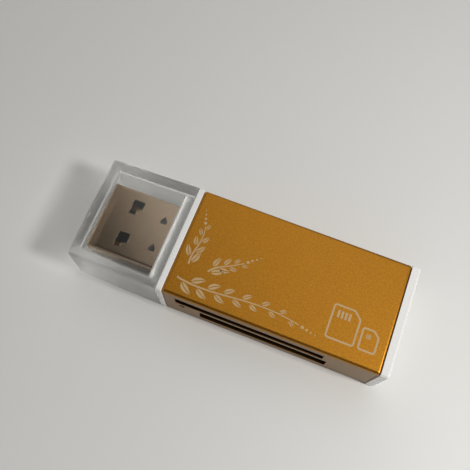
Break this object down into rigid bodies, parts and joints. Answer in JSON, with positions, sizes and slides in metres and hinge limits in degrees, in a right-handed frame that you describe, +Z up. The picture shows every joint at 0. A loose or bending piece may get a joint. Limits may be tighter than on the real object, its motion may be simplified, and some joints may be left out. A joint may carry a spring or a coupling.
{
  "type": "usb memory card reader",
  "caption": "Small memory card reader on a USB plug: gold metal sleeve with card slots in both sides, white plastic ends and a clear cap that pulls off the plug.",
  "frame": {"origin": "under the middle of the reader with its cap on, at the height of the table it lies on", "axes": "+X along the length from the cap to the tail, +Y towards the side with the two small slots, +Z up out of the broad top"},
  "size_m": [0.0536, 0.0186, 0.0106],
  "materials": {
    "gold_aluminium": "satin gold anodised",
    "white_plastic": "white, slightly glossy",
    "clear_plastic": "clear, polished",
    "carrier_plastic": "black, matt",
    "plug_steel": "nickel plated",
    "black_plastic": "black, matt",
    "contact_brass": "gold flashed",
    "board_green": "green solder mask",
    "tinned_steel": "tinned",
    "tan_ceramic": "tan, matt",
    "led_resin": "cloudy resin"
  },
  "bodies": {
    "reader": {"outer_sleeve": "gold_aluminium", "front_collar": "white_plastic", "tail_cap": "white_plastic", "upper_carrier": "carrier_plastic", "lower_carrier": "carrier_plastic", "usb_plug_shell": "plug_steel", "usb_plug_tongue": "black_plastic", "usb_plug_contacts": "contact_brass", "circuit_board": "board_green", "controller_chip": "black_plastic", "controller_leads": "tinned_steel", "crystal": "tinned_steel", "capacitors": "tan_ceramic", "resistors": "black_plastic", "regulator": "black_plastic", "activity_led": "led_resin", "wide_card_contacts": "contact_brass", "wide_card_switch_leaves": "contact_brass", "stick_card_contacts": "contact_brass", "micro_card_base": "black_plastic", "micro_card_shell": "tinned_steel", "micro_card_contacts": "contact_brass", "mini_card_base": "black_plastic", "mini_card_shell": "tinned_steel", "mini_card_contacts": "contact_brass"},
    "cap": {"clear_cap": "clear_plastic"}
  },
  "joints": [
    {"name": "cap_pull", "type": "slide", "parent": "reader", "child": "cap", "axis": [-1, 0, 0], "range_m": [0, 0.018]}
  ]
}
